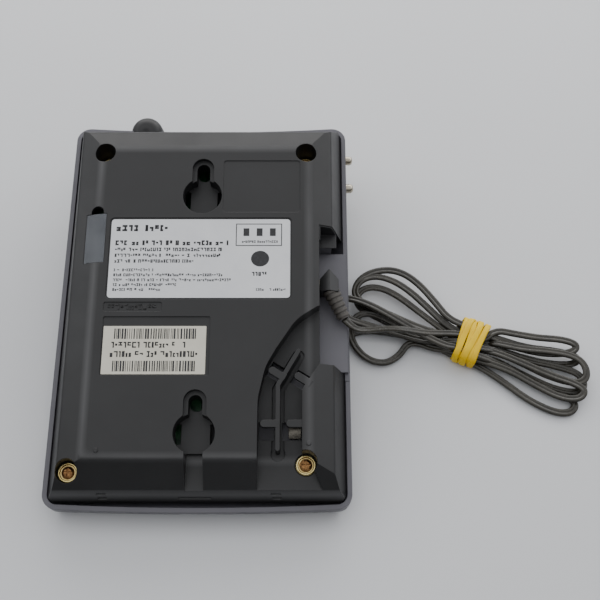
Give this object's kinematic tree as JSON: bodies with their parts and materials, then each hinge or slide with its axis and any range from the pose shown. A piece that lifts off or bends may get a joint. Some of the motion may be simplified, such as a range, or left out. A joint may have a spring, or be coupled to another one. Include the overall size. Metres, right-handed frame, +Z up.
{
  "type": "cordless phone base with wall adapter",
  "caption": "Answering cordless phone base lying face down on its plug-in wall adapter, underside up, with the adapter's flat cord tied in a hank by a rubber band.",
  "frame": {"origin": "centre of the whole object's footprint, on the table", "axes": "+X to the object's right with the underside up, towards the adapter's pins and the tied cord; +Y to its rear, the antenna end; +Z up"},
  "size_m": [0.2592, 0.2124, 0.0617],
  "materials": {
    "lower_casing_plastic": "fine spark-eroded grain, satin, slightly purple dark grey",
    "upper_casing_plastic": "satin purple-grey moulding with a soft sheen",
    "case_screw_steel": "yellow zinc plated, coppery worn cross",
    "white_label": "satin white film label",
    "cream_label": "satin cream paper label",
    "clear_film": "thin bluish see-through film",
    "key_rubber": "matte silicone rubber",
    "circuit_board": "solder resist green",
    "small_screw_steel": "zinc plated steel",
    "tinned_steel": "tinned sheet",
    "black_moulding": "black moulding",
    "speaker_black": "black paper cone and frame",
    "display_window": "clear window",
    "display_glass": "grey-green display",
    "lamp_lens": "translucent red lens",
    "key_plastic": "light grey satin keys",
    "contact_nickel": "nickel plated",
    "plug_black": "moulded black vinyl",
    "sleeve_vinyl": "soft brown-grey vinyl",
    "adapter_plastic": "black moulding, fine grain",
    "pin_nickel": "nickel plated brass",
    "core_steel": "laminated core, varnished",
    "coil_copper": "enamelled copper under tape",
    "cord_vinyl": "dark taupe flat twin vinyl flex, satin",
    "band_rubber": "yellow natural rubber"
  },
  "bodies": {
    "base": {"adapter_body": "adapter_plastic", "adapter_cover": "adapter_plastic", "adapter_lead": "cord_vinyl", "adapter_pins": "pin_nickel", "adapter_screws": "small_screw_steel", "adapter_sleeve": "sleeve_vinyl", "antenna_stub": "lower_casing_plastic", "board_screws": "small_screw_steel", "case_screws": "case_screw_steel", "cord_hank": "cord_vinyl", "dc_jack": "black_moulding", "dc_plug": "plug_black", "jack_board": "circuit_board", "key_mat": "key_rubber", "lcd_module": "display_glass", "lcd_window": "display_window", "line_jack": "black_moulding", "lower_case": "lower_casing_plastic", "main_board": "circuit_board", "message_lamp": "lamp_lens", "microphone": "tinned_steel", "plug_barrel": "contact_nickel", "plug_lead": "cord_vinyl", "plug_sleeve": "sleeve_vinyl", "radio_can": "tinned_steel", "rating_label": "white_label", "rectifier_board": "circuit_board", "rubber_band": "band_rubber", "seal_sticker": "clear_film", "serial_label": "cream_label", "side_panel": "upper_casing_plastic", "socket_bezel": "black_moulding", "speaker": "speaker_black", "transformer_coil": "coil_copper", "transformer_core": "core_steel", "upper_case": "upper_casing_plastic"},
    "dial_key_1": {"dial_key_1": "key_plastic"},
    "dial_key_2": {"dial_key_2": "key_plastic"},
    "dial_key_3": {"dial_key_3": "key_plastic"},
    "dial_key_4": {"dial_key_4": "key_plastic"},
    "dial_key_5": {"dial_key_5": "key_plastic"},
    "dial_key_6": {"dial_key_6": "key_plastic"},
    "dial_key_7": {"dial_key_7": "key_plastic"},
    "dial_key_8": {"dial_key_8": "key_plastic"},
    "dial_key_9": {"dial_key_9": "key_plastic"},
    "dial_key_star": {"dial_key_star": "key_plastic"},
    "dial_key_0": {"dial_key_0": "key_plastic"},
    "dial_key_hash": {"dial_key_hash": "key_plastic"},
    "play_stop_key": {"play_stop_key": "key_plastic"},
    "skip_back_key": {"skip_back_key": "key_plastic"},
    "skip_forward_key": {"skip_forward_key": "key_plastic"},
    "erase_key": {"erase_key": "key_plastic"},
    "answer_key": {"answer_key": "key_plastic"},
    "speakerphone_key": {"speakerphone_key": "key_plastic"},
    "locator_key": {"locator_key": "key_plastic"},
    "left_charge_contact": {"left_charge_contact": "contact_nickel"},
    "right_charge_contact": {"right_charge_contact": "contact_nickel"},
    "volume_rocker": {"volume_rocker": "key_plastic"}
  },
  "joints": [
    {"name": "dial_key_1_press", "type": "slide", "parent": "base", "child": "dial_key_1", "axis": [0, -0.158, 0.9874], "range_m": [0, 0.001], "stiffness_N_per_m": 300, "springref_m": -0.0005},
    {"name": "dial_key_2_press", "type": "slide", "parent": "base", "child": "dial_key_2", "axis": [0, -0.158, 0.9874], "range_m": [0, 0.001], "stiffness_N_per_m": 300, "springref_m": -0.0005},
    {"name": "dial_key_3_press", "type": "slide", "parent": "base", "child": "dial_key_3", "axis": [0, -0.158, 0.9874], "range_m": [0, 0.001], "stiffness_N_per_m": 300, "springref_m": -0.0005},
    {"name": "dial_key_4_press", "type": "slide", "parent": "base", "child": "dial_key_4", "axis": [0, -0.158, 0.9874], "range_m": [0, 0.001], "stiffness_N_per_m": 300, "springref_m": -0.0005},
    {"name": "dial_key_5_press", "type": "slide", "parent": "base", "child": "dial_key_5", "axis": [0, -0.158, 0.9874], "range_m": [0, 0.001], "stiffness_N_per_m": 300, "springref_m": -0.0005},
    {"name": "dial_key_6_press", "type": "slide", "parent": "base", "child": "dial_key_6", "axis": [0, -0.158, 0.9874], "range_m": [0, 0.001], "stiffness_N_per_m": 300, "springref_m": -0.0005},
    {"name": "dial_key_7_press", "type": "slide", "parent": "base", "child": "dial_key_7", "axis": [0, -0.158, 0.9874], "range_m": [0, 0.001], "stiffness_N_per_m": 300, "springref_m": -0.0005},
    {"name": "dial_key_8_press", "type": "slide", "parent": "base", "child": "dial_key_8", "axis": [0, -0.158, 0.9874], "range_m": [0, 0.001], "stiffness_N_per_m": 300, "springref_m": -0.0005},
    {"name": "dial_key_9_press", "type": "slide", "parent": "base", "child": "dial_key_9", "axis": [0, -0.158, 0.9874], "range_m": [0, 0.001], "stiffness_N_per_m": 300, "springref_m": -0.0005},
    {"name": "dial_key_star_press", "type": "slide", "parent": "base", "child": "dial_key_star", "axis": [0, -0.158, 0.9874], "range_m": [0, 0.001], "stiffness_N_per_m": 300, "springref_m": -0.0005},
    {"name": "dial_key_0_press", "type": "slide", "parent": "base", "child": "dial_key_0", "axis": [0, -0.158, 0.9874], "range_m": [0, 0.001], "stiffness_N_per_m": 300, "springref_m": -0.0005},
    {"name": "dial_key_hash_press", "type": "slide", "parent": "base", "child": "dial_key_hash", "axis": [0, -0.158, 0.9874], "range_m": [0, 0.001], "stiffness_N_per_m": 300, "springref_m": -0.0005},
    {"name": "play_stop_key_press", "type": "slide", "parent": "base", "child": "play_stop_key", "axis": [0, -0.158, 0.9874], "range_m": [0, 0.001], "stiffness_N_per_m": 300, "springref_m": -0.0005},
    {"name": "skip_back_key_press", "type": "slide", "parent": "base", "child": "skip_back_key", "axis": [0, -0.158, 0.9874], "range_m": [0, 0.001], "stiffness_N_per_m": 300, "springref_m": -0.0005},
    {"name": "skip_forward_key_press", "type": "slide", "parent": "base", "child": "skip_forward_key", "axis": [0, -0.158, 0.9874], "range_m": [0, 0.001], "stiffness_N_per_m": 300, "springref_m": -0.0005},
    {"name": "erase_key_press", "type": "slide", "parent": "base", "child": "erase_key", "axis": [0, -0.158, 0.9874], "range_m": [0, 0.001], "stiffness_N_per_m": 300, "springref_m": -0.0005},
    {"name": "answer_key_press", "type": "slide", "parent": "base", "child": "answer_key", "axis": [0, -0.158, 0.9874], "range_m": [0, 0.001], "stiffness_N_per_m": 300, "springref_m": -0.0005},
    {"name": "speakerphone_key_press", "type": "slide", "parent": "base", "child": "speakerphone_key", "axis": [0, -0.158, 0.9874], "range_m": [0, 0.001], "stiffness_N_per_m": 300, "springref_m": -0.0005},
    {"name": "locator_key_press", "type": "slide", "parent": "base", "child": "locator_key", "axis": [0, -0.158, 0.9874], "range_m": [0, 0.001], "stiffness_N_per_m": 300, "springref_m": -0.0005},
    {"name": "left_charge_contact_press", "type": "slide", "parent": "base", "child": "left_charge_contact", "axis": [0, -0.158, 0.9874], "range_m": [0, 0.0015], "stiffness_N_per_m": 500, "springref_m": -0.0005},
    {"name": "right_charge_contact_press", "type": "slide", "parent": "base", "child": "right_charge_contact", "axis": [0, -0.158, 0.9874], "range_m": [0, 0.0015], "stiffness_N_per_m": 500, "springref_m": -0.0005},
    {"name": "volume_rock", "type": "hinge", "parent": "base", "child": "volume_rocker", "pos_m": [-0.0564, -0.03596, 0.01379], "axis": [1, 0, 0], "range_deg": [-3, 3], "stiffness_Nm_per_rad": 0.02}
  ]
}
